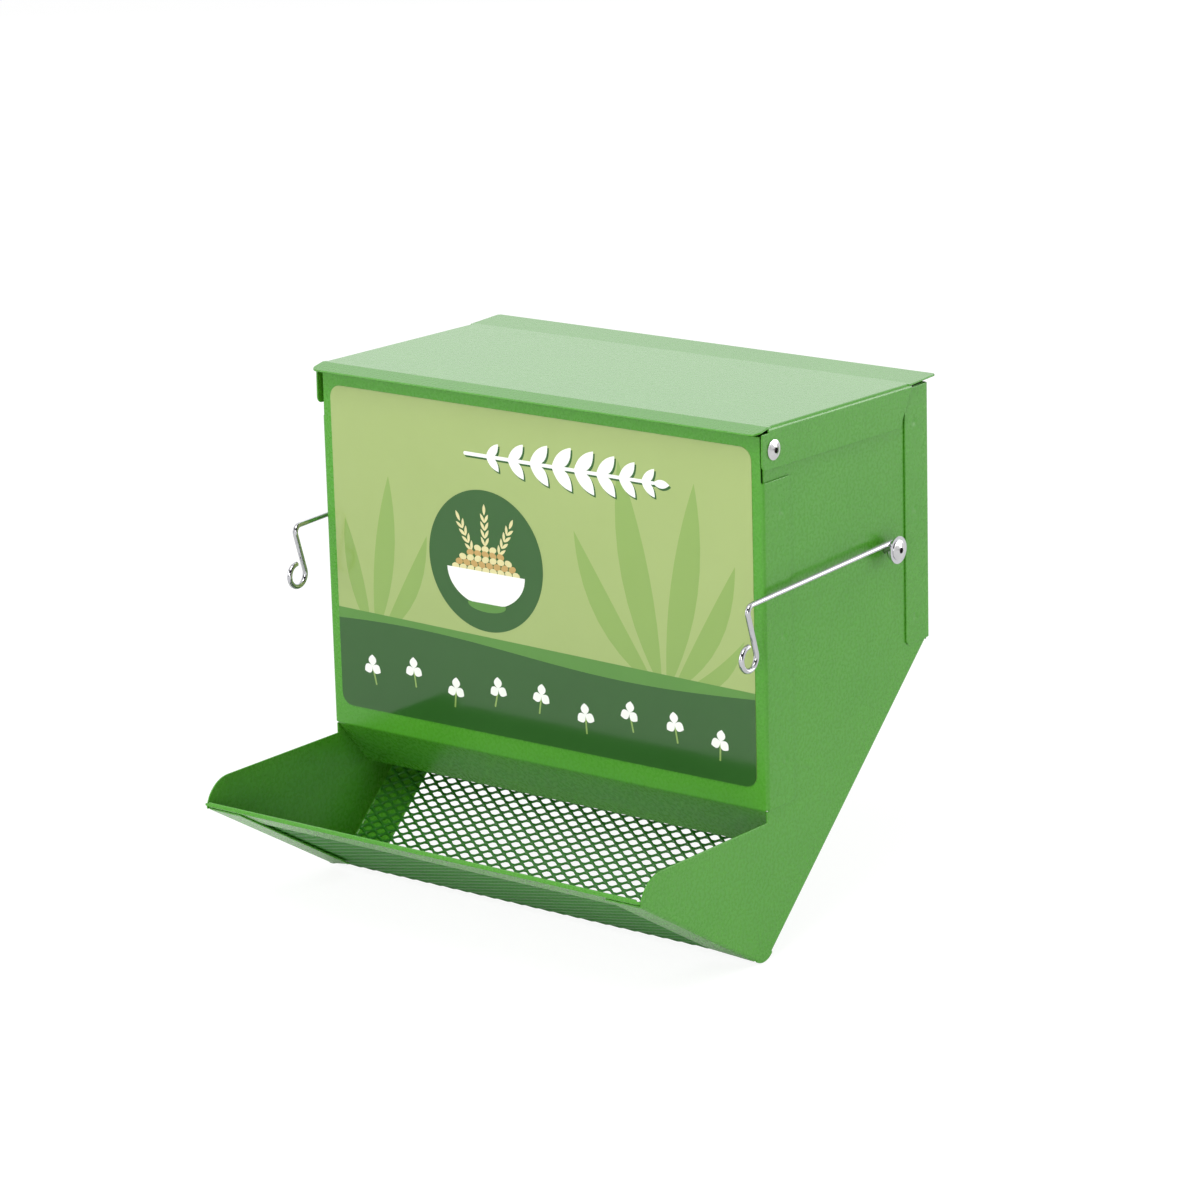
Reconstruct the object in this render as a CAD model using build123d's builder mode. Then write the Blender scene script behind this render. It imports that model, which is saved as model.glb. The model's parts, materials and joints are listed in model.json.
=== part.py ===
from build123d import *
import os
from math import cos, radians, sin, tan

os.makedirs("parts", exist_ok=True)

# Hopper feeder of powder-coated sheet steel, in millimetres.
# The origin is the middle of the front label's outer face, which lies against the cage wire.
# X runs to the right, Y runs from the label back through the hopper, and Z runs up.
# Lengths called y run back from the front panel's face, and heights run up from the
# sharp corner in which the side panels' two lower edges would meet.

# Sheet steel and the gaps between pieces
sheet = 0.8
bend_inner = 1.0
fixed_gap = 0.05
running_gap = 0.1
loose_gap = 0.3
wall_gap = 0.4

# Hopper body
body_width = 250.0
body_depth = 126.8
body_height = 238.3
corner_y = -2.9
corner_radius = 9.0
floor_rise = 30.9
slope_rise = 43.0
trough_reach = 91.7
wing_height = 65.3
wing_curve_radius = 15.5
wing_curve_start = 76.0
wing_root_y = 0.3
edge_flange_width = 20.0
edge_flange_mitre = 10.0

# Front panel
panel_foot_height = 70.8
front_flange_depth = 20.0
front_flange_drop = 20.5
panel_notch = 1.3
baffle_drop = 23.3
baffle_reach = 19.5

# Back panel
back_flange_depth = 18.8
back_flange_chamfer = 1.5
window_width = 204.0
window_start = 11.0
window_length = 77.0
window_radius = 4.0
foot_flange_length = 8.0

# Trough lip
lip_flange_length = 17.0
lip_top_height = 55.4

# Expanded metal
mesh_thickness = 0.9
diamond_long_pitch = 20.25
diamond_short_pitch = 13.75
strand_width = 2.5
mesh_rim = 1.6
mesh_overlap = 8.0

# Label
label_side_margin = 5.75
label_head_margin = 5.3
label_foot_margin = 9.6
label_radius = 6.0
label_thickness = 0.2

# Lid
lid_stand = 4.0
lid_fold_y = 3.4
lid_droop = 1.0
lid_rear_bend_inset = 14.8
lid_flange_drop = 18.8
lid_flange_lead = 4.9
lid_flange_rear_inset = 9.0
lid_flange_corner = 3.0
front_lip_length = 9.7
front_lip_dip = 12.0
front_lip_corner = 4.5
rear_lip_length = 19.5
rear_lip_rise = 3.5
rear_lip_corner = 2.0
lip_bend_radius = 2.0

# Blind rivets
shank_radius = 2.4
head_radius = 4.5
head_height = 1.5
head_rim = 0.35
bulge_radius = 3.6
bulge_length = 3.2
mandrel_radius = 1.3
mandrel_head_radius = 2.2
mandrel_head_length = 2.0
mandrel_recess = 1.0
lid_pivot_y = 6.5
lid_pivot_drop = 10.5

# Cage hooks
hook_pivot_inset = 33.3
hook_pivot_drop = 69.6
wire_radius = 1.25
eye_turn = 275.0
eye_start = 177.0
wire_stand_off = 3.35
washer_radius = 6.25
washer_thickness = 0.8
hook_bend_y = -18.6
hook_arm_dip = 0.5
hook_bend_radius = 3.2
hook_leg_lean = 16.5
hook_leg_length = 22.6
loop_radius = 5.4
loop_turn = 283.0

# Spot welds
weld_radius = 2.6
weld_depth = 0.25
front_weld_y = 14.0
front_weld_drops = (35.3, 91.3, 147.3)
back_weld_inset = 11.3
back_weld_drops = (16.3, 56.3, 106.3)

# Places that follow from the sizes above
front_flange_top = body_height - front_flange_drop
lid_top_height = body_height + lid_stand
lid_pivot_height = lid_top_height - lid_pivot_drop
hook_pivot_height = body_height - hook_pivot_drop
hook_pivot_y = body_depth - hook_pivot_inset
back_weld_y = body_depth - back_weld_inset
lid_web_length = body_depth - lid_rear_bend_inset - lid_fold_y
hook_bend_height = hook_pivot_height - hook_arm_dip
label_width = body_width - 2 * label_side_margin
label_head_height = body_height - label_head_margin
label_foot_height = panel_foot_height + label_foot_margin
label_height = label_head_height - label_foot_height
label_centre_height = (label_head_height + label_foot_height) / 2

# Other values that follow from the sizes above
flange_outer = body_width / 2
side_outer = flange_outer - sheet
side_inner = side_outer - sheet
bend_middle = bend_inner + sheet / 2
bend_zone = bend_inner + sheet
inner_half_width = side_inner - bend_inner - loose_gap
back_face_inner = body_depth - sheet
slope_top_height = (back_face_inner - corner_y) * tan(radians(slope_rise))
slope_length = (back_face_inner - corner_y) / cos(radians(slope_rise))
floor_length = (trough_reach + corner_y) / cos(radians(floor_rise))
corner_half_angle = radians(180 - floor_rise - slope_rise) / 2
corner_tangent = corner_radius / tan(corner_half_angle)
flange_end = corner_tangent + sheet
mesh_half_width = inner_half_width
lid_inner = flange_outer + wall_gap
lid_outer = lid_inner + sheet
lid_head_seat = lid_outer + running_gap
eye_radius = shank_radius + loose_gap + wire_radius
wire_x = side_outer + wire_stand_off + wire_radius
washer_x = wire_x + wire_radius + running_gap
hook_head_seat = washer_x + washer_thickness

# Datum planes
datum = Vector(0, label_thickness, -label_centre_height)
front_plane = Plane(origin=datum, x_dir=(1, 0, 0), z_dir=(0, -1, 0))
plan_plane = Plane(origin=datum, x_dir=(1, 0, 0), z_dir=(0, 0, 1))
side_plane = Plane(origin=datum, x_dir=(0, 1, 0), z_dir=(1, 0, 0))


def edge_plane(rise, forward):
    """Plane of a lower edge: x up along the edge from the sharp corner, z into the hopper."""
    across = cos(radians(rise))
    up = sin(radians(rise))
    origin = side_plane.from_local_coords((corner_y, 0, 0))
    if forward:
        return Plane(origin=origin, x_dir=(0, -across, up), z_dir=(0, up, across))
    return Plane(origin=origin, x_dir=(0, across, up), z_dir=(0, -up, across))


floor_plane = edge_plane(floor_rise, forward=True)
slope_plane = edge_plane(slope_rise, forward=False)


def section_at(plane, distance):
    """Plane that cuts across an edge plane, with x across the body and y into the hopper."""
    origin = plane.from_local_coords((distance, 0, 0))
    return Plane(origin=origin, x_dir=plane.y_dir, z_dir=plane.x_dir)


def strip_along_x(points, half_width, radius, plane=side_plane):
    """Bent strip of sheet: a centre line drawn in the side plane, carried across the body."""
    with BuildPart() as strip:
        with BuildSketch(plane):
            with BuildLine():
                FilletPolyline(*points, radius=radius)
            trace(line_width=sheet)
        extrude(amount=half_width, both=True)
    return strip.part


def edge_flange(plane, start, end):
    """Inward flange along a lower edge of the right side panel, mitred at its lower end."""
    outward = plane.y_dir.X
    fold_u = outward * (side_outer - sheet / 2)
    free_u = outward * (side_outer - edge_flange_width)
    with BuildPart() as flange:
        with BuildSketch(section_at(plane, start)):
            with BuildLine():
                FilletPolyline(
                    (free_u, sheet / 2),
                    (fold_u, sheet / 2),
                    (fold_u, bend_zone),
                    radius=bend_middle,
                )
            trace(line_width=sheet)
        extrude(amount=end - start)
        with BuildSketch(plane):
            with BuildLine():
                Polyline(
                    (start, fold_u - outward * bend_zone),
                    (start, free_u),
                    (start + edge_flange_mitre, free_u),
                    close=True,
                )
            make_face()
        extrude(amount=sheet, mode=Mode.SUBTRACT)
    return flange.part


def write_pair(name, right_part):
    """Writes the right-hand piece and its mirror image for the left."""
    with BuildPart() as right_piece:
        add(right_part)
    right_piece.part.label = f"right_{name}"
    export_step(right_piece.part, f"parts/right_{name}.step")
    with BuildPart() as left_piece:
        mirror(right_part, about=Plane.YZ)
    left_piece.part.label = f"left_{name}"
    export_step(left_piece.part, f"parts/left_{name}.step")


def weld_dimples(weld_y, drops):
    """Shallow round dents of a row of spot welds, sunk into both outer flange faces."""
    ball_radius = (weld_radius**2 + weld_depth**2) / (2 * weld_depth)
    centre_x = flange_outer + ball_radius - weld_depth
    centres = [(side * centre_x, weld_y, body_height - drop) for side in (-1, 1) for drop in drops]
    with Locations(*[plan_plane.from_local_coords(centre) for centre in centres]):
        Sphere(ball_radius, mode=Mode.SUBTRACT)


# Side panels. The outline's front edge stands behind the front panel, steps out to the wing,
# and the two lower edges carry the inward flanges that hold the floor and the slope.
wing_tip_y = sheet - trough_reach
floor_edge_at_tip = (corner_y - wing_tip_y) * tan(radians(floor_rise))
wing_arc_drop = wing_curve_radius - (
    wing_curve_radius**2 - (-wing_tip_y - wing_curve_start) ** 2
) ** 0.5
panel_edge_y = sheet + bend_inner
panel_rear_y = back_face_inner - bend_inner
panel_rear_height = (panel_rear_y - corner_y) * tan(radians(slope_rise))
step_height = panel_foot_height - 2 * loose_gap
slope_flange_end = slope_length - bend_zone
floor_flange_end = floor_length - bend_zone

floor_flange = edge_flange(floor_plane, flange_end, floor_flange_end)
slope_flange = edge_flange(slope_plane, flange_end, slope_flange_end)

with BuildPart() as right_side_panel:
    with BuildSketch(side_plane.offset(side_inner)):
        with BuildLine():
            Polyline(
                (wing_tip_y, wing_height - wing_arc_drop),
                (wing_tip_y, floor_edge_at_tip),
                (corner_y, 0),
                (panel_rear_y, panel_rear_height),
                (panel_rear_y, body_height),
                (panel_edge_y, body_height),
                (panel_edge_y, step_height),
                (wing_root_y, step_height),
                (wing_root_y, wing_height),
                (-wing_curve_start, wing_height),
            )
            RadiusArc(
                (-wing_curve_start, wing_height),
                (wing_tip_y, wing_height - wing_arc_drop),
                -wing_curve_radius,
            )
        outline = make_face()
        fillet(outline.vertices().sort_by(Axis.Y)[0], corner_radius)
        with Locations((lid_pivot_y, lid_pivot_height), (hook_pivot_y, hook_pivot_height)):
            Circle(shank_radius + fixed_gap, mode=Mode.SUBTRACT)
    extrude(amount=sheet)
    for fold_plane, fold_end in ((floor_plane, floor_flange_end), (slope_plane, slope_flange_end)):
        outward = fold_plane.y_dir.X
        with BuildSketch(fold_plane):
            with Locations(((flange_end + fold_end) / 2, outward * (side_inner + sheet / 2))):
                Rectangle(fold_end - flange_end, sheet)
        extrude(amount=bend_zone, mode=Mode.SUBTRACT)
    add(floor_flange)
    add(slope_flange)

write_pair("side_panel", right_side_panel.part)

# Front panel: the face with a flange down each side, and the baffle that slopes down behind it
panel_face_half_width = flange_outer - panel_notch
flange_path_x = flange_outer - sheet / 2
baffle_half_width = side_inner - loose_gap
baffle = strip_along_x(
    [
        (sheet / 2, panel_foot_height + 2 * bend_zone),
        (sheet / 2, panel_foot_height),
        (baffle_reach, panel_foot_height - baffle_drop),
    ],
    baffle_half_width,
    bend_middle,
)

with BuildPart() as front_panel:
    with BuildSketch(plan_plane.offset(panel_foot_height)):
        with BuildLine():
            FilletPolyline(
                (-flange_path_x, front_flange_depth),
                (-flange_path_x, sheet / 2),
                (flange_path_x, sheet / 2),
                (flange_path_x, front_flange_depth),
                radius=bend_middle,
            )
        trace(line_width=sheet)
    extrude(amount=front_flange_top - panel_foot_height)
    with BuildSketch(front_plane):
        with Locations((0, (front_flange_top + body_height) / 2)):
            Rectangle(2 * panel_face_half_width, body_height - front_flange_top)
    extrude(amount=-sheet)
    with BuildSketch(front_plane):
        with Locations((0, panel_foot_height + bend_zone / 2)):
            Rectangle(2 * baffle_half_width, bend_zone)
    extrude(amount=-sheet, mode=Mode.SUBTRACT)
    add(baffle)
    weld_dimples(front_weld_y, front_weld_drops)

front_panel.part.label = "front_panel"
export_step(front_panel.part, "parts/front_panel.step")

# Back panel: the upright wall with its side flanges, and the slope sheet with its window.
# The slope sheet lies on the side panels' flanges and turns up at its foot.
slope_sheet_level = sheet + sheet / 2
foot_level = 2 * sheet + mesh_thickness + sheet / 2


def level_line_point(distance, level):
    """Point above the slope edge, as (y, height), at a distance up the slope."""
    point = side_plane.to_local_coords(slope_plane.from_local_coords((distance, 0, level)))
    return (point.X, point.Y)


def foot_point():
    """Where the slope sheet's middle meets the middle of its turned-up foot."""
    turn = radians(180 - floor_rise - slope_rise)
    distance = (foot_level + slope_sheet_level * cos(turn)) / sin(turn)
    return level_line_point(distance, slope_sheet_level)


foot_y, foot_height = foot_point()
foot_end = (
    foot_y - foot_flange_length * cos(radians(floor_rise)),
    foot_height + foot_flange_length * sin(radians(floor_rise)),
)
wall_middle_y = body_depth - sheet / 2
bend_distance = (wall_middle_y - level_line_point(0, slope_sheet_level)[0]) / cos(radians(slope_rise))
wall_bend = level_line_point(bend_distance, slope_sheet_level)
slope_sheet = strip_along_x(
    [
        foot_end,
        (foot_y, foot_height),
        wall_bend,
        (wall_middle_y, wall_bend[1] + 2 * bend_zone),
    ],
    inner_half_width,
    bend_middle,
)

with BuildPart() as back_panel:
    with BuildSketch(plan_plane.offset(slope_top_height)):
        with BuildLine():
            FilletPolyline(
                (-flange_path_x, body_depth - back_flange_depth),
                (-flange_path_x, wall_middle_y),
                (flange_path_x, wall_middle_y),
                (flange_path_x, body_depth - back_flange_depth),
                radius=bend_middle,
            )
        trace(line_width=sheet)
    extrude(amount=body_height - slope_top_height)
    with BuildSketch(side_plane):
        with BuildLine():
            Polyline(
                (body_depth - back_flange_depth, slope_top_height),
                (body_depth - back_flange_depth + back_flange_chamfer, slope_top_height),
                (body_depth - back_flange_depth, slope_top_height + back_flange_chamfer),
                close=True,
            )
        make_face()
    extrude(amount=flange_outer, both=True, mode=Mode.SUBTRACT)
    add(slope_sheet)
    with BuildSketch(slope_plane):
        with Locations((window_start + window_length / 2, 0)):
            RectangleRounded(window_length, window_width, window_radius)
    extrude(amount=2 * sheet, mode=Mode.SUBTRACT)
    weld_dimples(back_weld_y, back_weld_drops)

back_panel.part.label = "back_panel"
export_step(back_panel.part, "parts/back_panel.step")


# Expanded metal. Staggered diamonds leave a net of strands, with a plain rim at the cut edges.
def diamond_net(plane, start, end, level):
    """Expanded sheet on an edge plane between two distances up that edge."""
    half_long = diamond_long_pitch / 2
    half_short = diamond_short_pitch / 2
    to_strand = half_long * half_short / (half_long**2 + half_short**2) ** 0.5
    shrink = 1 - strand_width / 2 / to_strand
    hole_long = half_long * shrink
    hole_short = half_short * shrink
    clear_length = end - start - 2 * mesh_rim
    clear_width = 2 * (mesh_half_width - mesh_rim)
    rows = int((clear_length - 2 * hole_short) / diamond_short_pitch) + 1
    columns = int((clear_width - 2 * hole_long) / diamond_long_pitch) + 1
    with BuildPart() as net:
        with BuildSketch(plane.offset(level)):
            with Locations(((start + end) / 2, 0)):
                Rectangle(end - start, 2 * mesh_half_width)
                for row_count, column_count in ((rows, columns), (rows - 1, columns - 1)):
                    with GridLocations(
                        diamond_short_pitch, diamond_long_pitch, row_count, column_count
                    ):
                        Polygon(
                            (hole_short, 0),
                            (0, hole_long),
                            (-hole_short, 0),
                            (0, -hole_long),
                            mode=Mode.SUBTRACT,
                        )
        extrude(amount=mesh_thickness)
    return net.part


mesh_level = 2 * sheet
lip_line = floor_length - 2 * sheet
net_foot = 2 * sheet + mesh_thickness

with BuildPart() as floor_mesh:
    add(diamond_net(floor_plane, net_foot, lip_line, mesh_level))

floor_mesh.part.label = "floor_mesh"
export_step(floor_mesh.part, "parts/floor_mesh.step")

slope_net_start = foot_flange_length
slope_net_end = window_start + window_length + mesh_overlap

with BuildPart() as slope_mesh:
    add(diamond_net(slope_plane, slope_net_start, slope_net_end, mesh_level))

slope_mesh.part.label = "slope_mesh"
export_step(slope_mesh.part, "parts/slope_mesh.step")

# Trough lip: an angle strip whose upright covers the wing tips and the cut edge of the net
lip_middle_y = sheet / 2 - trough_reach
lip_flange_level = sheet + sheet / 2
lip_fold_height = (corner_y - lip_middle_y) * tan(radians(floor_rise)) + lip_flange_level / cos(
    radians(floor_rise)
)
lip_upright_half_width = side_outer
lip_flange = strip_along_x(
    [
        (lip_middle_y, lip_fold_height + bend_zone),
        (lip_middle_y, lip_fold_height),
        (
            lip_middle_y + lip_flange_length * cos(radians(floor_rise)),
            lip_fold_height - lip_flange_length * sin(radians(floor_rise)),
        ),
    ],
    inner_half_width,
    sheet / 2 + fixed_gap,
)

with BuildPart() as front_lip:
    add(lip_flange)
    with BuildSketch(front_plane.offset(trough_reach)):
        with Locations((0, (lip_fold_height + lip_top_height) / 2)):
            Rectangle(2 * lip_upright_half_width, lip_top_height - lip_fold_height)
    extrude(amount=-sheet)

front_lip.part.label = "front_lip"
export_step(front_lip.part, "parts/front_lip.step")

# Label: a thin gloss sheet stuck on the front panel
with BuildPart() as front_label:
    with BuildSketch(Plane.XZ):
        RectangleRounded(label_width, label_height, label_radius)
    extrude(amount=-label_thickness)

front_label.part.label = "front_label"
export_step(front_label.part, "parts/front_label.step")

# Lid. Its own plane starts at the front fold and droops towards the back.
droop_across = cos(radians(lid_droop))
droop_down = sin(radians(lid_droop))
lid_origin = side_plane.from_local_coords((lid_fold_y, lid_top_height, 0))
lid_side = Plane(origin=lid_origin, x_dir=(0, droop_across, -droop_down), z_dir=(1, 0, 0))
lid_plan = Plane(origin=lid_origin, x_dir=(1, 0, 0), z_dir=(0, droop_down, droop_across))
lid_section = Plane(origin=lid_origin, x_dir=(-1, 0, 0), z_dir=lid_side.x_dir)
lid_bend_x = lid_outer - sheet / 2
lid_cheek_top = bend_zone + sheet


def lid_lip(length, angle, root_x, heading, corner):
    """Lip along the lid's front or rear edge, bent by an angle, with rounded corners."""
    tip_x = root_x + heading * length * cos(radians(angle))
    tip_v = length * sin(radians(angle)) * (1 if heading > 0 else -1)
    path = [(root_x - heading * bend_zone, -sheet / 2), (root_x, -sheet / 2), (tip_x, tip_v - sheet / 2)]
    with BuildPart() as lip:
        add(strip_along_x(path, lid_outer, lip_bend_radius, plane=lid_side))
        with BuildSketch(lid_plan.offset(-length)):
            with Locations((0, (root_x + tip_x - heading * 2 * corner) / 2)):
                RectangleRounded(2 * lid_outer, abs(tip_x - root_x) + 2 * corner, corner)
        extrude(amount=2 * length, mode=Mode.INTERSECT)
    return lip.part


front_lid_lip = lid_lip(front_lip_length, front_lip_dip, 0, -1, front_lip_corner)
rear_lid_lip = lid_lip(rear_lip_length, rear_lip_rise, lid_web_length, 1, rear_lip_corner)

with BuildPart() as lid:
    with BuildSketch(lid_section):
        with BuildLine():
            FilletPolyline(
                (-lid_bend_x, -lid_cheek_top),
                (-lid_bend_x, -sheet / 2),
                (lid_bend_x, -sheet / 2),
                (lid_bend_x, -lid_cheek_top),
                radius=bend_middle,
            )
        trace(line_width=sheet)
    extrude(amount=lid_web_length)
    add(front_lid_lip)
    add(rear_lid_lip)
    with BuildSketch(lid_side.offset(lid_inner)) as lid_cheek:
        with BuildLine():
            Polyline(
                (-lid_flange_lead, -lid_cheek_top),
                (-lid_flange_lead, -lid_flange_drop),
                (lid_web_length - lid_flange_rear_inset, -lid_flange_drop),
                (lid_web_length, -lid_cheek_top),
                close=True,
            )
        make_face()
        fillet(lid_cheek.vertices().sort_by(Axis.Y)[0:2], lid_flange_corner)
    extrude(amount=sheet)
    mirror(about=Plane.YZ)
    with BuildSketch(side_plane):
        with Locations((lid_pivot_y, lid_pivot_height)):
            Circle(shank_radius + running_gap)
    extrude(amount=lid_outer, both=True, mode=Mode.SUBTRACT)

lid.part.label = "lid"
export_step(lid.part, "parts/lid.step")


# Blind rivets, turned about an axis along X through the pivot
def pivot_section(pivot_y, pivot_height):
    """Plane through a pivot's axis, with x outwards and y the radius."""
    origin = side_plane.from_local_coords((pivot_y, pivot_height, 0))
    return Plane(origin=origin, x_dir=(1, 0, 0), z_dir=(0, -1, 0))


def blind_rivet(pivot_y, pivot_height, head_seat):
    """Right-hand rivet: domed head, hollow shank through the wall, and the upset end inside."""
    section = pivot_section(pivot_y, pivot_height)
    bore = mandrel_radius + fixed_gap
    upset_end = side_inner - bulge_length
    with BuildPart() as rivet:
        with BuildSketch(section):
            with BuildLine():
                Polyline(
                    (head_seat + head_height, bore),
                    (upset_end, bore),
                    (upset_end, bulge_radius - head_rim),
                    (upset_end + head_rim, bulge_radius),
                    (side_inner, bulge_radius),
                    (side_inner, shank_radius),
                    (head_seat, shank_radius),
                    (head_seat, head_radius),
                    (head_seat + head_rim, head_radius),
                )
                RadiusArc(
                    (head_seat + head_rim, head_radius),
                    (head_seat + head_height, bore),
                    -2 * head_radius,
                )
            make_face()
        revolve(axis=Axis(section.origin, (1, 0, 0)))
    return rivet.part


def rivet_stem(pivot_y, pivot_height, head_seat):
    """Broken-off mandrel that stays inside a set rivet, with its head behind the upset end."""
    section = pivot_section(pivot_y, pivot_height)
    upset_end = side_inner - bulge_length
    stem_end = head_seat + head_height - mandrel_recess
    with BuildPart() as stem:
        with BuildSketch(section):
            with BuildLine():
                Polyline(
                    (stem_end, 0),
                    (stem_end, mandrel_radius - head_rim),
                    (stem_end - head_rim, mandrel_radius),
                    (upset_end, mandrel_radius),
                    (upset_end, mandrel_head_radius),
                    (upset_end - mandrel_head_length / 2, mandrel_head_radius),
                    (upset_end - mandrel_head_length, mandrel_radius),
                    (upset_end - mandrel_head_length, 0),
                    close=True,
                )
            make_face()
        revolve(axis=Axis(section.origin, (1, 0, 0)))
    return stem.part


for pivot_name, pivot_y, pivot_height, head_seat in (
    ("lid", lid_pivot_y, lid_pivot_height, lid_head_seat),
    ("hook", hook_pivot_y, hook_pivot_height, hook_head_seat),
):
    write_pair(f"{pivot_name}_rivet", blind_rivet(pivot_y, pivot_height, head_seat))
    write_pair(f"{pivot_name}_rivet_stem", rivet_stem(pivot_y, pivot_height, head_seat))

# Washer under each hook rivet's head
with BuildPart() as hook_washer:
    with BuildSketch(side_plane.offset(washer_x)):
        with Locations((hook_pivot_y, hook_pivot_height)):
            Circle(washer_radius)
            Circle(shank_radius + fixed_gap, mode=Mode.SUBTRACT)
    extrude(amount=washer_thickness)

write_pair("hook_washer", hook_washer.part)

# Hook wire: an eye round the rivet, the arm forward, a bend, the leg and an open loop.
# It is bent flat, and then laid in its own plane beside the hopper.
with BuildPart() as flat_wire:
    with BuildLine():
        eye = CenterArc((hook_pivot_y, hook_pivot_height), eye_radius, eye_start, eye_turn)
        leg_direction = Vector(sin(radians(hook_leg_lean)), -cos(radians(hook_leg_lean)))
        leg_start = Vector(hook_bend_y, hook_bend_height)
        leg_end = leg_start + leg_direction * hook_leg_length
        eye_end = Vector(
            hook_pivot_y + eye_radius * cos(radians(eye_start + eye_turn)),
            hook_pivot_height + eye_radius * sin(radians(eye_start + eye_turn)),
        )
        FilletPolyline(eye_end, leg_start, leg_end, radius=hook_bend_radius)
        loop_centre = leg_end - leg_direction.rotate(Axis.Z, 90) * loop_radius
        CenterArc(loop_centre, loop_radius, hook_leg_lean, -loop_turn)
    with BuildSketch(Plane(origin=eye @ 0, z_dir=eye % 0)):
        Circle(wire_radius)
    sweep()

write_pair("hook_wire", side_plane.offset(wire_x) * flat_wire.part)
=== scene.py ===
import json
from math import cos, pi, radians, sin

import bpy
import bmesh
from mathutils import Matrix, Vector
from mathutils.bvhtree import BVHTree

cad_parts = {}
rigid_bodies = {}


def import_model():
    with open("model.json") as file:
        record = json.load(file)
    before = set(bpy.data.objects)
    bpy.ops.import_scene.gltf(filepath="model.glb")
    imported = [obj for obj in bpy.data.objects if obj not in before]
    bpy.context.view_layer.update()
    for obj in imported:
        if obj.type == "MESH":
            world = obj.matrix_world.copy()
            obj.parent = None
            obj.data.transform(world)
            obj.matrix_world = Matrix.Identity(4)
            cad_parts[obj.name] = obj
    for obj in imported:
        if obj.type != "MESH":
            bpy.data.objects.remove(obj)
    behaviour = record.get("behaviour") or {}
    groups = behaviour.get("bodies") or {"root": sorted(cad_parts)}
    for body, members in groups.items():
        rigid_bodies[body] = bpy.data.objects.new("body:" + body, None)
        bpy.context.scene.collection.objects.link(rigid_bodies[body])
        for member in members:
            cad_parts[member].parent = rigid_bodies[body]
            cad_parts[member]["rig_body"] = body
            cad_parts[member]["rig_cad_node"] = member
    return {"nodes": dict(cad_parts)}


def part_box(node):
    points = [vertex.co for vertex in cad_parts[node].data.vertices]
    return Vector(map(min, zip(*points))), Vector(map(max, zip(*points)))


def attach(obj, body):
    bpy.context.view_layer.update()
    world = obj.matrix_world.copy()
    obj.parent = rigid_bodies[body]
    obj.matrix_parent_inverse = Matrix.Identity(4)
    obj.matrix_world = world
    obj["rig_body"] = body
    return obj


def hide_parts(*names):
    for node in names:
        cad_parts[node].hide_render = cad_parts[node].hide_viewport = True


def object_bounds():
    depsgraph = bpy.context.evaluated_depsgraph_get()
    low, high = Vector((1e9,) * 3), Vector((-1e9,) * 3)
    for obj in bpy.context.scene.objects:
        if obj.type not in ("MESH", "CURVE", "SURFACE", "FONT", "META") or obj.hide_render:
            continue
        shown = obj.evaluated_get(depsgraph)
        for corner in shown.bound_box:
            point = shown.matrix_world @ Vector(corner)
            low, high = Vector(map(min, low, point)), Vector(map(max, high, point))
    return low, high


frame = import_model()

cad_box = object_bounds()
MM = 0.001


# Materials. Colours are sRGB hex values, and each pattern's size is a real one in metres.
def linear(hex_colour):
    """Linear values of an sRGB hex colour, with full opacity."""
    channels = [int(hex_colour[i : i + 2], 16) / 255 for i in (1, 3, 5)]
    return [*(c / 12.92 if c < 0.04045 else ((c + 0.055) / 1.055) ** 2.4 for c in channels), 1.0]


def add_node(tree, kind, values=None, links=None, **settings):
    """Adds a shader node with its settings, its fixed values and its links."""
    node = tree.nodes.new(kind)
    for name, setting in settings.items():
        setattr(node, name, setting)
    for socket, value in (values or {}).items():
        node.inputs[socket].default_value = value
    for socket, source in (links or {}).items():
        tree.links.new(source, node.inputs[socket])
    return node


def new_material(name):
    """Empty node material, with its tree and the object coordinates that its patterns read."""
    material = bpy.data.materials.new(name)
    material.use_nodes = True
    tree = material.node_tree
    tree.nodes.clear()
    place = add_node(tree, "ShaderNodeTexCoord").outputs["Object"]
    return material, tree, place


def finish_material(tree, values, links):
    """Principled surface, joined to the material's output."""
    shader = add_node(tree, "ShaderNodeBsdfPrincipled", values, links)
    add_node(tree, "ShaderNodeOutputMaterial", links={"Surface": shader.outputs["BSDF"]})


def noise(tree, place, size, detail, roughness=0.5):
    """Value of a noise pattern with grains of a real size."""
    values = {"Scale": 1 / size, "Detail": detail, "Roughness": roughness}
    return add_node(tree, "ShaderNodeTexNoise", values, {"Vector": place}).outputs["Fac"]


def bumped(tree, height, strength, depth):
    """Normal of a surface whose pattern stands out by a real depth."""
    values = {"Strength": strength, "Distance": depth}
    return add_node(tree, "ShaderNodeBump", values, {"Height": height}).outputs["Normal"]


def mottled(tree, place, first, second, size):
    """Colour that drifts between two close tones over patches of a real size."""
    return add_node(
        tree,
        "ShaderNodeMix",
        {"A": linear(first), "B": linear(second)},
        {"Factor": noise(tree, place, size, detail=5.0, roughness=0.68)},
        data_type="RGBA",
    ).outputs["Result"]


def ranged(tree, source, low, high):
    """A pattern's value spread over a range."""
    return add_node(
        tree, "ShaderNodeMapRange", {"To Min": low, "To Max": high}, {"Value": source}
    ).outputs["Result"]


def powder_coat(name, first, second, roughness, peel):
    """Polyester powder coat, baked on: semi-gloss, with the orange peel of the flowed powder."""
    material, tree, place = new_material(name)
    ripple = noise(tree, place, peel, detail=1.5)
    finish_material(
        tree,
        {"IOR": 1.5},
        {
            "Base Color": mottled(tree, place, first, second, size=45 * MM),
            "Roughness": ranged(tree, ripple, roughness - 0.04, roughness + 0.05),
            "Normal": bumped(tree, ripple, strength=0.16, depth=0.05 * MM),
        },
    )
    return material


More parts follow.
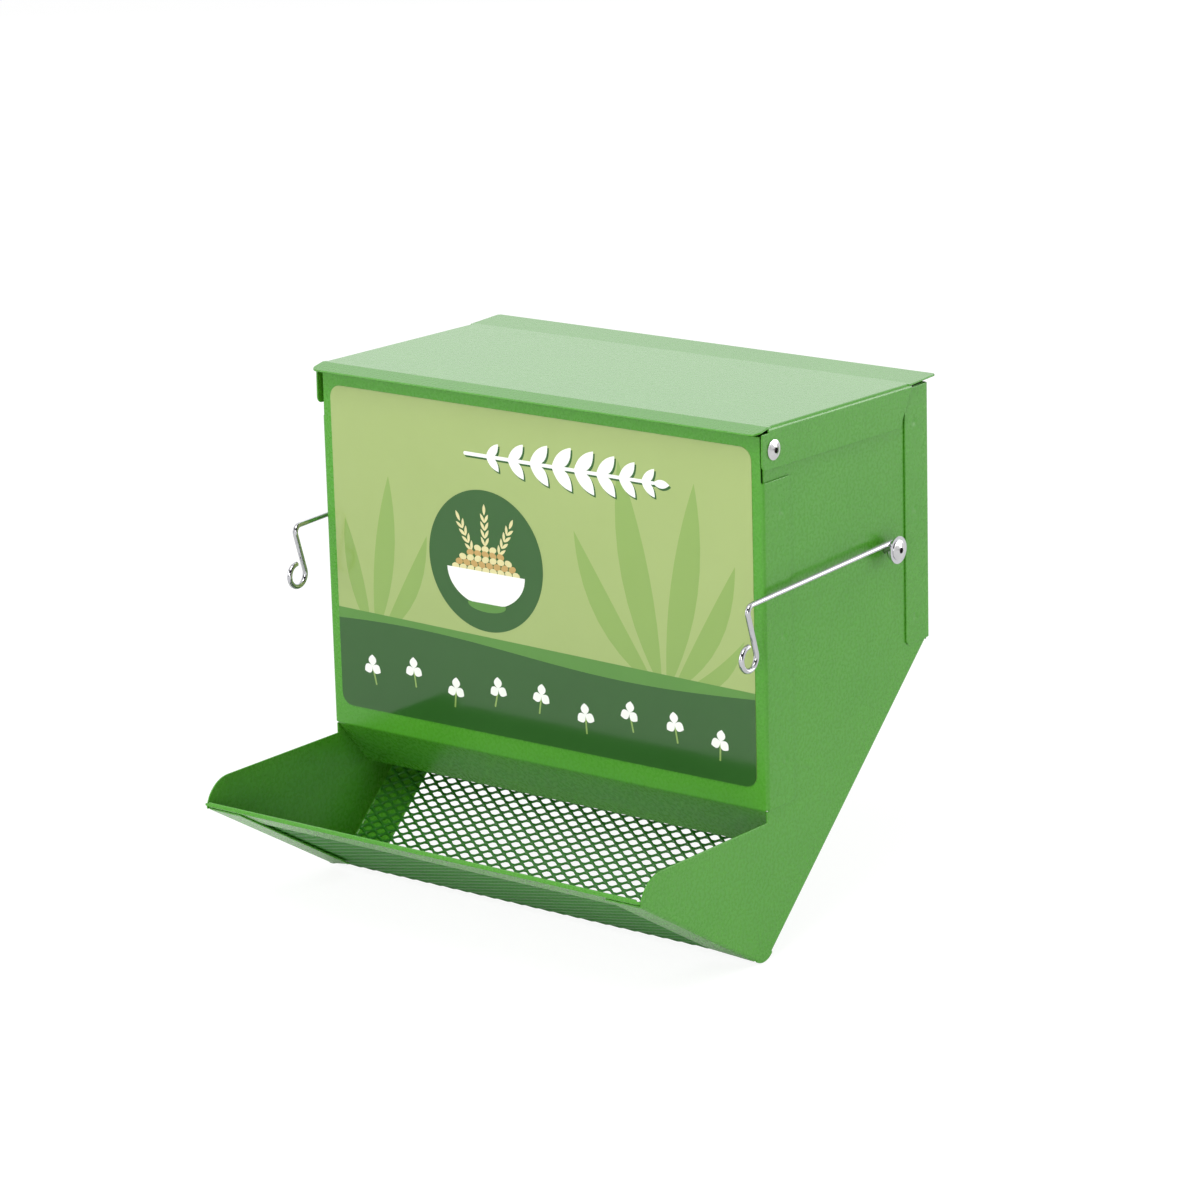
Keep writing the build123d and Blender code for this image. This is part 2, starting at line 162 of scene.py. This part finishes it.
def printed_film(name, first, second):
    """Offset print under a clear gloss film: a sharp sheen that the film's waves bend a little."""
    material, tree, place = new_material(name)
    waves = noise(tree, place, size=30 * MM, detail=1.0)
    finish_material(
        tree,
        {"IOR": 1.5},
        {
            "Base Color": mottled(tree, place, first, second, size=60 * MM),
            "Roughness": ranged(tree, waves, 0.06, 0.12),
            "Normal": bumped(tree, waves, strength=0.3, depth=0.05 * MM),
        },
    )
    return material


def plated_steel(name, first, second, roughness, grain):
    """Steel with bright zinc on it: mirror-like, with fine marks. The mandrels use it rougher and in
    a dark colour, which is painted shade for the recess in the rivet's bore.
    """
    material, tree, place = new_material(name)
    marks = noise(tree, place, grain, detail=4.0, roughness=0.6)
    finish_material(
        tree,
        {"Metallic": 1.0},
        {
            "Base Color": mottled(tree, place, first, second, size=4 * MM),
            "Roughness": ranged(tree, marks, roughness - 0.06, roughness + 0.08),
            "Normal": bumped(tree, marks, strength=0.2, depth=0.01 * MM),
        },
    )
    return material


# Green powder coat: leaf green with a soft sheen on the sheet. On the mesh it is finer, and its
# darker colour is painted shade for the shaded strands
green_coat = powder_coat("powder_coat_leaf_green", "#408B1C", "#4C9725", 0.27, 1.8 * MM)
net_coat_painted_shade = powder_coat("powder_coat_on_mesh_painted_shade", "#266D1A", "#2D761F", 0.30, 0.9 * MM)

# Steel: bright zinc on wires and washers, tumbled rivet heads, and snapped mandrels whose dark
# colour is painted shade for the rivets' recesses
zinc_wire = plated_steel("bright_zinc_wire", "#C9C9CC", "#B6B7BC", 0.12, 0.6 * MM)
zinc_washer = plated_steel("bright_zinc_washer", "#D4D4D7", "#C2C2C8", 0.16, 0.9 * MM)
rivet_shell = plated_steel("tumbled_rivet_steel", "#D2D1D0", "#C2C2C5", 0.17, 0.5 * MM)
mandrel_steel_painted_shade = plated_steel("snapped_mandrel_painted_shade", "#4A4846", "#2B2826", 0.45, 0.3 * MM)

# Label inks under one gloss film, from the pale ground to the grain in the bowl
film_field = printed_film("label_film_pale_green", "#95A865", "#9DB06E")
film_blades = printed_film("label_film_mid_green", "#86A456", "#819F51")
film_meadow = printed_film("label_film_meadow_green", "#4F8134", "#568A3B")
film_dark = printed_film("label_film_dark_green", "#295521", "#2E5C26")
film_white = printed_film("label_film_white", "#F1F3EE", "#E9ECE4")
film_straw = printed_film("label_film_straw", "#D9D3A0", "#CFC58A")
film_grain = printed_film("label_film_grain_brown", "#BE9E5E", "#B09055")


# Modelling helpers
def deselect_all():
    for selected in list(bpy.context.selected_objects):
        selected.select_set(False)


def activate(piece):
    """Makes one piece the only selected and active one."""
    deselect_all()
    piece.select_set(True)
    bpy.context.view_layer.objects.active = piece


def named(name):
    """Names the primitive that was just added."""
    piece = bpy.context.object
    piece.name = name
    piece.data.name = name
    return piece


def settle(piece):
    """Moves a piece's place, turn and size into its mesh."""
    activate(piece)
    bpy.ops.object.transform_apply(location=True, rotation=True, scale=True)


def apply_modifiers(piece):
    activate(piece)
    for modifier in list(piece.modifiers):
        bpy.ops.object.modifier_apply(modifier=modifier.name)


def finished(piece, material, body):
    """Gives a piece its finish and the body that it rides on."""
    piece.data.materials.clear()
    piece.data.materials.append(material)
    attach(piece, body)
    return piece


# Sheet pieces: copies of the solids with the coat's soft edges
coat_edge = 0.32 * MM
coated_angle = radians(60)
ledge_width = 0.12 * MM
merge_gap = 0.05 * MM
same_point = 0.002 * MM
flat_angle = radians(0.4)
crease_angle = radians(55)


def mark_coated_edges(piece):
    """Marks the edges that the coat rounds: sharp ones without a thin ledge beside them."""
    shape = bmesh.new()
    shape.from_mesh(piece.data)
    coated = shape.edges.layers.float.new("bevel_weight_edge")
    ledges = {
        face
        for face in shape.faces
        if face.calc_area() < ledge_width * max(edge.calc_length() for edge in face.edges)
    }
    for edge in shape.edges:
        if edge.calc_face_angle(0) > coated_angle and not ledges.intersection(edge.link_faces):
            edge[coated] = 1.0
    shape.to_mesh(piece.data)
    shape.free()


def pull_back_strays(shape, surface):
    """Draws each corner point that left the solid's surface to its nearest sound neighbour."""
    allowed = coat_edge / 3
    strays = [vertex for vertex in shape.verts if surface.find_nearest(vertex.co)[3] > allowed]
    while strays:
        kept = len(strays)
        for stray in list(strays):
            linked = [edge.other_vert(stray) for edge in stray.link_edges]
            sound = [vertex for vertex in linked if vertex not in strays]
            if sound:
                on_surface = surface.find_nearest(stray.co)[0]
                stray.co = min(sound, key=lambda vertex: (vertex.co - on_surface).length).co
                strays.remove(stray)
        if len(strays) == kept:
            break
    bmesh.ops.remove_doubles(shape, verts=shape.verts, dist=same_point)


def collapse_folds(shape, surface):
    """Collapses most of the slivers that face inwards where rounded edges meet in a corner."""
    largest_sliver = (1.0 * MM) ** 2
    facing_inwards = -0.2
    passes = 5

    def outward_share(face):
        return face.normal.dot(surface.find_nearest(face.calc_center_median())[1])

    for _ in range(passes):
        shape.normal_update()
        folded = [
            face
            for face in shape.faces
            if face.calc_area() < largest_sliver and outward_share(face) < facing_inwards
        ]
        shortest = {min(face.edges, key=lambda edge: edge.calc_length()) for face in folded}
        bmesh.ops.collapse(shape, edges=list(shortest))


def mend_corners(piece, solid):
    """Puts right the corners that the rounding of the edges spoils."""
    surface = BVHTree.FromPolygons(
        [vertex.co for vertex in solid.data.vertices],
        [face.vertices for face in solid.data.polygons],
    )
    shape = bmesh.new()
    shape.from_mesh(piece.data)
    pull_back_strays(shape, surface)
    collapse_folds(shape, surface)
    shape.to_mesh(piece.data)
    shape.free()


# Spot welds: their rows' places, and the reach and depths of the points inside a dent
weld_rows = {"front_panel": 14.2 * MM, "back_panel": 115.7 * MM}
weld_reach = 2.4 * MM
weld_depths = (0.03 * MM, 0.3 * MM)


def deepen_welds(piece, weld_y):
    """Presses the weld dents to twice the solid's depth, so that they show through the coat."""
    flange_face = max(vertex.co.x for vertex in piece.data.vertices)
    for vertex in piece.data.vertices:
        sunk = flange_face - abs(vertex.co.x)
        in_row = abs(vertex.co.y - weld_y) < weld_reach
        if in_row and weld_depths[0] < sunk < weld_depths[1]:
            vertex.co.x *= 1 - sunk / abs(vertex.co.x)


def keep_inside(piece, low, high):
    """Holds a piece's points inside a box."""
    for vertex in piece.data.vertices:
        limits = zip(vertex.co, low, high)
        vertex.co = [max(min(value, top), foot) for value, foot, top in limits]


def soft_edged_copy(node, body):
    """Copy of a sheet piece whose cut edges are rounded as the baked coat rounds them."""
    piece = frame["nodes"][node].copy()
    piece.data = piece.data.copy()
    piece.parent = None
    bpy.context.scene.collection.objects.link(piece)
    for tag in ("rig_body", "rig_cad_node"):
        del piece[tag]
    piece.name = f"{node}_coated"
    activate(piece)
    bpy.ops.object.mode_set(mode="EDIT")
    bpy.ops.mesh.select_all(action="SELECT")
    bpy.ops.mesh.remove_doubles(threshold=merge_gap)
    bpy.ops.mesh.dissolve_limited(angle_limit=flat_angle)
    bpy.ops.mesh.normals_make_consistent(inside=False)
    bpy.ops.object.mode_set(mode="OBJECT")
    mark_coated_edges(piece)
    edge = piece.modifiers.new("edge", "BEVEL")
    edge.width = coat_edge
    edge.segments = 2
    edge.limit_method = "WEIGHT"
    edge.use_clamp_overlap = False
    apply_modifiers(piece)
    mend_corners(piece, frame["nodes"][node])
    if node in weld_rows:
        deepen_welds(piece, weld_rows[node])
    keep_inside(piece, *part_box(node))
    bpy.ops.object.shade_smooth_by_angle(angle=crease_angle)
    shading = piece.modifiers.new("shading", "WEIGHTED_NORMAL")
    shading.keep_sharp = True
    apply_modifiers(piece)
    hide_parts(node)
    return finished(piece, green_coat, body)


for sheet_node in ("left_side_panel", "right_side_panel", "front_panel", "back_panel", "front_lip"):
    soft_edged_copy(sheet_node, "hopper")
soft_edged_copy("lid", "lid")


# Metal pieces that keep their solids
for node, material in (
    ("hook_wire", zinc_wire),
    ("hook_washer", zinc_washer),
    ("hook_rivet", rivet_shell),
    ("lid_rivet", rivet_shell),
    ("hook_rivet_stem", mandrel_steel_painted_shade),
    ("lid_rivet_stem", mandrel_steel_painted_shade),
):
    for side in ("left", "right"):
        solid = frame["nodes"][f"{side}_{node}"]
        solid.data.materials.clear()
        solid.data.materials.append(material)

label_solid = frame["nodes"]["front_label"]
label_solid.data.materials.clear()
label_solid.data.materials.append(film_field)


# Print on the label. Shapes are drawn flat, x to the right and y up from the label's middle,
# in millimetres, and each layer of ink then stands on the label's face.
label_low, label_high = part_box("front_label")
ink = 0.02 * MM


def drawn_disc(points=48):
    bpy.ops.mesh.primitive_circle_add(vertices=points, radius=1, fill_type="NGON")
    return bpy.context.object


def placed(shape, at, turn=0.0, size=(1.0, 1.0)):
    """Sizes a drawn shape, turns it and puts it on the label."""
    shape.data.transform(
        Matrix.Translation((at[0] * MM, at[1] * MM, 0))
        @ Matrix.Rotation(radians(turn), 4, "Z")
        @ Matrix.Diagonal((size[0] * MM, size[1] * MM, 1, 1))
    )
    return shape


def drawn_leaf(at, length, width, turn, bend=0.0):
    """Leaf from its stalk at a point: a disc with pinched ends, bent sideways by a share."""
    leaf = drawn_disc(28)
    for vertex in leaf.data.vertices:
        along = vertex.co.x
        vertex.co.x = (1 + along) / 2
        vertex.co.y = vertex.co.y * abs(vertex.co.y) * width / length / 2 + bend * (1 - along**2)
    return placed(leaf, at, turn, (length, length))


def drawn_stalk(start, end, width):
    """Straight stalk with rounded ends between two points."""
    run = Vector(end) - Vector(start)
    stalk = drawn_disc(16)
    for vertex in stalk.data.vertices:
        vertex.co *= width / 2
        if vertex.co.x > 0:
            vertex.co.x += run.length
    return placed(stalk, start, turn=Vector((1, 0)).angle_signed(run) * -180 / pi)


def drawn_bowl(at, width, depth):
    """Feed bowl from the side: the lower half of an oval, with a flat rim and a flat foot."""
    rim_level = 0
    foot_level = -0.9
    bowl = drawn_disc(64)
    for vertex in bowl.data.vertices:
        vertex.co.y = max(min(vertex.co.y, rim_level), foot_level)
    return placed(bowl, at, size=(width / 2, depth))


def drawn_trefoil(middle, leaf_length, turn):
    """Three round leaves that meet in a point."""
    return [
        drawn_leaf(middle, leaf_length, 0.85 * leaf_length, turn + 120 * leaf)
        for leaf in range(3)
    ]


def print_layer(name, shapes, material, level):
    """Joins drawn shapes into one piece on the label's face, as many inks thick as its level."""
    deselect_all()
    for shape in shapes:
        shape.select_set(True)
    bpy.context.view_layer.objects.active = shapes[0]
    if len(shapes) > 1:
        bpy.ops.object.join()
    layer = named(name)
    body = layer.modifiers.new("ink", "SOLIDIFY")
    body.thickness = level * ink
    body.offset = 1.0
    apply_modifiers(layer)
    upright = Matrix.Rotation(radians(90), 4, "X")
    layer.data.transform(Matrix.Translation((0, label_low.y, 0)) @ upright)
    return finished(layer, material, "hopper")


def meadow_band(name, crest, swell, waves, shift, material, level):
    """Rolling ground along the label's foot, with the label's own rounded lower corners."""
    width = label_high.x - label_low.x
    crest_line = crest * MM
    foot_line = label_low.z
    corner = 6.0 * MM
    corner_steps = 8
    crest_cuts = 71
    on_crest = 0.01 * MM
    bpy.ops.mesh.primitive_plane_add(size=1)
    band = bpy.context.object
    band.data.transform(
        Matrix.Translation((0, (crest_line + foot_line) / 2, 0))
        @ Matrix.Diagonal((width, crest_line - foot_line, 1, 1))
    )
    bpy.ops.object.mode_set(mode="EDIT")
    shape = bmesh.from_edit_mesh(band.data)
    for vertex in shape.verts:
        vertex.select = vertex.co.y < (foot_line + crest_line) / 2
    shape.select_flush_mode()
    bpy.ops.mesh.bevel(offset=corner, segments=corner_steps, affect="VERTICES")
    shape = bmesh.from_edit_mesh(band.data)
    for edge in shape.edges:
        edge.select = all(abs(vertex.co.y - crest_line) < on_crest for vertex in edge.verts)
    shape.select_flush_mode()
    bpy.ops.mesh.select_mode(type="EDGE")
    bpy.ops.mesh.subdivide(number_cuts=crest_cuts)
    shape = bmesh.from_edit_mesh(band.data)
    for vertex in shape.verts:
        if abs(vertex.co.y - crest_line) < on_crest:
            vertex.co.y += swell * MM * sin(2 * pi * (waves * vertex.co.x / width + shift))
    bmesh.update_edit_mesh(band.data)
    bpy.ops.object.mode_set(mode="OBJECT")
    return print_layer(name, [band], material, level)


def garland_leaves(middle, half_length, joints, longest):
    """Pairs of leaves along a level sprig, longest at its middle, and one leaf at its tip."""
    x, y = middle
    leaf_angle = 42
    leaf_bend = 0.07
    leaves = []
    for joint in range(joints):
        share = (joint + 0.5) / joints
        length = longest * (0.55 + 0.45 * sin(pi * share))
        start = (x + half_length * (2 * share - 1), y)
        for side in (-1, 1):
            turn = side * leaf_angle
            leaves.append(drawn_leaf(start, length, 0.44 * length, turn, -side * leaf_bend))
    leaves.append(drawn_leaf((x + half_length, y), 0.6 * longest, 0.26 * longest, 0))
    return leaves


def grass_blades(foot, blades):
    """Long blades that fan out from one foot: each leans and bends to its own side."""
    foot_spread = 0.12
    bend_per_degree = 0.0022
    return [
        drawn_leaf(
            (foot[0] + lean * foot_spread, foot[1]),
            length,
            0.15 * length,
            90 - lean,
            -lean * bend_per_degree,
        )
        for lean, length in blades
    ]


def oat_ear(foot, lean):
    """Ear of oats: grains in pairs up a line that leans, and one at its tip."""
    pairs = 4
    pair_gap = 3.6
    grain_angle = 28
    rise = Vector((sin(radians(lean)), cos(radians(lean))))
    grains = [
        drawn_leaf(Vector(foot) + rise * pair_gap * pair, 4.8, 1.5, 90 - lean + side * grain_angle)
        for pair in range(pairs)
        for side in (-1, 1)
    ]
    tip = Vector(foot) + rise * (pairs * pair_gap)
    return grains + [drawn_leaf(tip, 5.2, 1.7, 90 - lean)]


def print_meadow():
    """Grass in two depths and two bands of rolling ground in front of it."""
    right_foot = (70, -40)
    left_foot = (-98, -40)
    back_grass = grass_blades(right_foot, ((-12, 104), (30, 72)))
    back_grass += grass_blades(left_foot, ((8, 78),))
    print_layer("label_grass_back", back_grass, film_blades, 0.5)
    front_grass = grass_blades(right_foot, ((-34, 80), (10, 98), (52, 48)))
    front_grass += grass_blades(left_foot, ((-14, 56), (30, 60)))
    print_layer("label_grass_front", front_grass, film_blades, 1)
    meadow_band(
        "label_far_meadow",
        crest=-30.0,
        swell=3.2,
        waves=1.3,
        shift=0.10,
        material=film_meadow,
        level=2,
    )
    meadow_band(
        "label_near_meadow",
        crest=-36.0,
        swell=3.0,
        waves=0.9,
        shift=0.55,
        material=film_dark,
        level=3,
    )


def print_feed_bowl(field_middle):
    """Round field with a bowl of pellets, heaped in rows, and three ears of oats behind it."""
    field_radius = 33
    pellet_gap = 4.4
    row_rise = 2.5
    rim_x, rim_y = field_middle[0], field_middle[1] - 5
    field = placed(drawn_disc(96), field_middle, size=(field_radius, field_radius))
    print_layer("label_round_field", [field], film_dark, 4)
    ears = oat_ear((rim_x - 8, rim_y + 9), -26) + oat_ear((rim_x + 8, rim_y + 9), 26)
    print_layer("label_oats", ears + oat_ear((rim_x, rim_y + 12), 0), film_straw, 5)
    for row, count in enumerate((9, 8, 7, 5, 3)):
        pellets = []
        for pellet in range(count):
            x = rim_x + (pellet - (count - 1) / 2) * pellet_gap
            y = rim_y + 0.6 + row * row_rise
            turn = 20 * sin(7 * pellet + 3 * row)
            pellets.append(placed(drawn_disc(16), (x, y), turn, (2.1, 1.5)))
        grain = film_grain if row % 2 else film_straw
        print_layer(f"label_pellets_{row + 1}", pellets, grain, 7.5 - row / 2)
    bowl_foot = placed(drawn_disc(48), (rim_x, rim_y - 15.5), size=(11, 3.4))
    print_layer("label_bowl_foot", [bowl_foot], film_meadow, 7)
    bowl = drawn_bowl((rim_x, rim_y), width=45, depth=16.5)
    print_layer("label_bowl", [bowl], film_white, 8)


def print_sprig(sprig_middle):
    """Level sprig in white, with a dark copy set off behind it as its shadow."""
    for name, shift, material, level in (
        ("shadow", 0.9, film_dark, 2),
        ("face", 0.0, film_white, 3),
    ):
        middle = sprig_middle + Vector((shift, -shift))
        stalk = drawn_stalk(middle - Vector((56, 0)), middle + Vector((50, 0)), 1.7)
        print_layer(f"label_sprig_stalk_{name}", [stalk], material, level - 0.5)
        leaves = garland_leaves(middle, half_length=50, joints=8, longest=15.0)
        print_layer(f"label_sprig_leaves_{name}", leaves, material, level)


def print_clover_row(count, gap):
    """Row of clover on the near meadow, each plant a little higher or lower than the last."""
    for clover in range(count):
        middle = (-100 + gap * clover, -55 + 3.2 * sin(2.2 * clover))
        foot = (middle[0] + 2.0 * cos(clover), middle[1] - 8.5)
        stalk = drawn_stalk(foot, middle, 0.9)
        print_layer(f"label_clover_stalk_{clover + 1}", [stalk], film_blades, 4)
        leaves = drawn_trefoil(middle, 5.4, 90 + 9 * sin(3 * clover))
        print_layer(f"label_clover_{clover + 1}", leaves, film_white, 5)


print_meadow()
print_feed_bowl((-30.0, 5.0))
print_sprig(Vector((16.0, 54.0)))
print_clover_row(count=9, gap=25)


# Expanded metal at its real pitch
net_thickness = 0.9 * MM
diamond_long = 8.1 * MM
diamond_short = 5.5 * MM
opening_half_height = 1.45 * MM
strand_crown = 0.30 * MM
strand_side = 0.235 * MM
crown_drop = 0.18 * net_thickness
side_drop = 0.32 * net_thickness
strand_tilt = 0.45 * MM
touching = 0.01 * MM


def strand_frame(tilt):
    """One diamond of the net: half strands round an opening that long knuckles make six-sided."""
    bpy.ops.mesh.primitive_circle_add(vertices=4, radius=0.5, fill_type="NGON")
    cell = named("strand_frame")
    bpy.ops.object.mode_set(mode="EDIT")
    bpy.ops.transform.resize(value=(diamond_long, diamond_short, 1))
    bpy.ops.mesh.select_mode(type="EDGE")
    bpy.ops.mesh.select_all(action="SELECT")
    bpy.ops.mesh.subdivide(number_cuts=2)
    bpy.ops.mesh.select_all(action="SELECT")
    bpy.ops.mesh.select_mode(type="FACE")
    bpy.ops.mesh.inset(thickness=strand_crown)
    bpy.ops.transform.translate(value=(0, 0, -crown_drop))
    bpy.ops.mesh.inset(thickness=strand_side)
    bpy.ops.transform.translate(value=(0, 0, -side_drop))
    bpy.ops.mesh.select_mode(type="VERT")
    bpy.ops.mesh.vertices_smooth(factor=0.5, repeat=1, zaxis=False)
    bpy.ops.mesh.select_mode(type="FACE")
    bpy.ops.mesh.delete(type="ONLY_FACE")
    bpy.ops.object.mode_set(mode="OBJECT")
    for vertex in cell.data.vertices:
        vertex.co.z += net_thickness / 2
        below_top = 1 - vertex.co.z / (net_thickness / 2)
        if below_top > 0.1:
            edge_height = opening_half_height + 2 * strand_side * (1 - below_top)
            vertex.co.y = max(min(vertex.co.y, edge_height), -edge_height)
    mirror = cell.modifiers.new("underside", "MIRROR")
    mirror.use_axis = (False, False, True)
    mirror.merge_threshold = touching
    apply_modifiers(cell)
    for vertex in cell.data.vertices:
        inward = 1 - abs(vertex.co.z) / (net_thickness / 2)
        vertex.co.z -= tilt * inward * vertex.co.y / (diamond_short / 2)
    return cell


def net_sheet(node, rise, forward):
    """Net cut to a solid's size: diamonds in staggered rows, sheared off at the sheet's edges."""
    low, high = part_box(node)
    across = cos(radians(rise))
    up = sin(radians(rise))
    length = (high.z - low.z - net_thickness * across) / up
    half_width = high.x
    foot_y = high.y - net_thickness * up if forward else low.y + net_thickness * up
    spare_cells = 3
    rows = int(length / diamond_short) + spare_cells
    columns = int(2 * half_width / diamond_long) + spare_cells
    net = strand_frame(-strand_tilt if forward else strand_tilt)
    net.name = f"{node}_expanded"
    twin = net.copy()
    twin.data = net.data.copy()
    bpy.context.scene.collection.objects.link(twin)
    for vertex in twin.data.vertices:
        vertex.co += Vector((diamond_long / 2, diamond_short / 2, 0))
    activate(net)
    twin.select_set(True)
    bpy.ops.object.join()
    for count, offset in ((columns, (diamond_long, 0, 0)), (rows, (0, diamond_short, 0))):
        row = net.modifiers.new("row", "ARRAY")
        row.count = count
        row.use_relative_offset = False
        row.use_constant_offset = True
        row.constant_offset_displace = offset
    apply_modifiers(net)
    net.data.transform(
        Matrix.Translation((-(columns - 1) * diamond_long / 2, -diamond_short, net_thickness / 2))
    )
    bpy.ops.object.mode_set(mode="EDIT")
    bpy.ops.mesh.select_all(action="SELECT")
    bpy.ops.mesh.remove_doubles(threshold=touching)
    for point, normal in (
        ((half_width, 0, 0), (1, 0, 0)),
        ((-half_width, 0, 0), (-1, 0, 0)),
        ((0, 0, 0), (0, -1, 0)),
        ((0, length, 0), (0, 1, 0)),
    ):
        bpy.ops.mesh.select_all(action="SELECT")
        bpy.ops.mesh.bisect(plane_co=point, plane_no=normal, clear_outer=True, use_fill=True)
    bpy.ops.mesh.select_all(action="SELECT")
    bpy.ops.mesh.normals_make_consistent(inside=False)
    bpy.ops.object.mode_set(mode="OBJECT")
    turn = Matrix.Rotation(radians(rise), 4, "X")
    if forward:
        turn = Matrix.Rotation(radians(-rise), 4, "X") @ Matrix.Rotation(pi, 4, "Z")
    net.data.transform(Matrix.Translation((0, foot_y, low.z)) @ turn)
    activate(net)
    bpy.ops.object.shade_smooth_by_angle(angle=radians(60))
    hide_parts(node)
    # The mesh takes the darker coat, whose colour is painted shade on the strands
    return finished(net, net_coat_painted_shade, "hopper")


floor_rise = 30.9
slope_rise = 43.0
net_sheet("floor_mesh", floor_rise, forward=True)
net_sheet("slope_mesh", slope_rise, forward=False)


# Studio: a pale floor under the object, and even light from all round
def studio_floor():
    """Paper that shows white but keeps the object's shadow, and is clear from below."""
    floor_gap = 0.4 * MM
    seen_share = 0.79
    mirrored_share = 0.12
    white_strength = 1.13
    bpy.ops.mesh.primitive_plane_add(size=24, location=(0, 0, cad_box[0][2] - floor_gap))
    floor = named("studio_floor")
    settle(floor)
    material = bpy.data.materials.new("studio_paper")
    material.use_nodes = True
    tree = material.node_tree
    tree.nodes.clear()
    path = add_node(tree, "ShaderNodeLightPath")
    seen = add_node(
        tree,
        "ShaderNodeMath",
        links={0: path.outputs["Is Camera Ray"], 1: path.outputs["Is Transmission Ray"]},
        operation="ADD",
    )
    seen = add_node(
        tree,
        "ShaderNodeMath",
        {1: seen_share},
        {0: seen.outputs[0]},
        operation="MULTIPLY",
    )
    share = add_node(
        tree,
        "ShaderNodeMath",
        {1: mirrored_share},
        {0: path.outputs["Is Glossy Ray"], 2: seen.outputs[0]},
        operation="MULTIPLY_ADD",
    )
    paper = add_node(tree, "ShaderNodeBsdfDiffuse", {"Color": linear("#F4F4F4")})
    white = add_node(
        tree,
        "ShaderNodeEmission",
        {"Color": linear("#FFFFFF"), "Strength": white_strength},
    )
    mix = add_node(
        tree,
        "ShaderNodeMixShader",
        links={0: share.outputs[0], 1: paper.outputs[0], 2: white.outputs[0]},
    )
    side = add_node(tree, "ShaderNodeNewGeometry")
    open_below = add_node(tree, "ShaderNodeBsdfTransparent")
    surface = add_node(
        tree,
        "ShaderNodeMixShader",
        links={0: side.outputs["Backfacing"], 1: mix.outputs[0], 2: open_below.outputs[0]},
    )
    add_node(tree, "ShaderNodeOutputMaterial", links={"Surface": surface.outputs[0]})
    floor.data.materials.append(material)


def studio_world():
    """White room, dimmer as a light than to the eye, with a dull wall for the metal to mirror."""
    room_light = 0.46
    dull_wall = 0.04
    dull_side = Vector((0.5, -0.8, 0.33)).normalized()
    dull_from = 0.40
    dull_to = 0.62
    world = bpy.data.worlds.new("studio_room")
    bpy.context.scene.world = world
    world.use_nodes = True
    tree = world.node_tree
    tree.nodes.clear()
    direction = add_node(tree, "ShaderNodeTexCoord").outputs["Generated"]
    frontward = add_node(
        tree,
        "ShaderNodeVectorMath",
        {1: dull_side},
        {0: direction},
        operation="DOT_PRODUCT",
    ).outputs["Value"]
    mirrored = add_node(
        tree,
        "ShaderNodeMapRange",
        {"From Min": dull_from, "From Max": dull_to, "To Min": 1.0, "To Max": dull_wall},
        {"Value": frontward},
        interpolation_type="SMOOTHSTEP",
    ).outputs["Result"]
    path = add_node(tree, "ShaderNodeLightPath")
    strength = room_light
    for ray, brightness in (
        ("Is Camera Ray", 1.0),
        ("Is Transmission Ray", 1.0),
        ("Is Glossy Ray", mirrored),
    ):
        chooser = add_node(tree, "ShaderNodeMix", links={"Factor": path.outputs[ray]})
        for socket, value in (("A", strength), ("B", brightness)):
            if isinstance(value, float):
                chooser.inputs[socket].default_value = value
            else:
                tree.links.new(value, chooser.inputs[socket])
        strength = chooser.outputs["Result"]
    background = add_node(
        tree, "ShaderNodeBackground", {"Color": linear("#FFFFFF")}, {"Strength": strength}
    )
    add_node(tree, "ShaderNodeOutputWorld", links={"Surface": background.outputs[0]})


def softbox(name, place, aim, size, power):
    """Large square lamp that points at the object."""
    bpy.ops.object.light_add(type="AREA", location=place)
    lamp = bpy.context.object
    lamp.name = name
    lamp.data.shape = "SQUARE"
    lamp.data.size = size
    lamp.data.energy = power
    lamp.visible_camera = False
    lamp.rotation_euler = (Vector(place) - Vector(aim)).to_track_quat("Z", "Y").to_euler()
    return lamp


studio_floor()
studio_world()
body_middle = (0.0, 0.03, 0.0)
softbox("front_left_softbox", (-1.9, -2.1, 0.7), body_middle, size=1.4, power=23.0)
softbox("front_right_softbox", (1.2, -2.5, 0.5), body_middle, size=1.0, power=21.0)
softbox("right_rear_softbox", (1.7, 2.1, 0.35), body_middle, size=1.4, power=33.0)
softbox("rear_left_softbox", (-1.45, 1.85, 1.15), body_middle, size=2.6, power=13.0)
softbox("overhead_softbox", (0.4, -1.1, 2.0), body_middle, size=1.2, power=28.0)


# Camera at the photograph's viewing angle
camera_azimuth = 38.257
camera_elevation = 15.338
camera_roll = -1.539
camera_distance = 2103.752 * MM
camera_aim = Vector((-5.66, 51.55, -21.44)) * MM
camera_lens = 137.97

facing = (
    Matrix.Rotation(radians(camera_azimuth), 4, "Z")
    @ Matrix.Rotation(radians(90 - camera_elevation), 4, "X")
    @ Matrix.Rotation(radians(camera_roll), 4, "Z")
)
camera = bpy.data.objects.new("photo_camera", bpy.data.cameras.new("photo_camera"))
bpy.context.scene.collection.objects.link(camera)
camera.data.lens = camera_lens
camera.data.sensor_width = 36.0
camera.data.clip_end = 60.0
drawn_back = Matrix.Translation((0, 0, camera_distance))
camera.matrix_world = Matrix.Translation(camera_aim) @ facing @ drawn_back
bpy.context.scene.camera = camera
bpy.context.scene.view_settings.view_transform = "Standard"
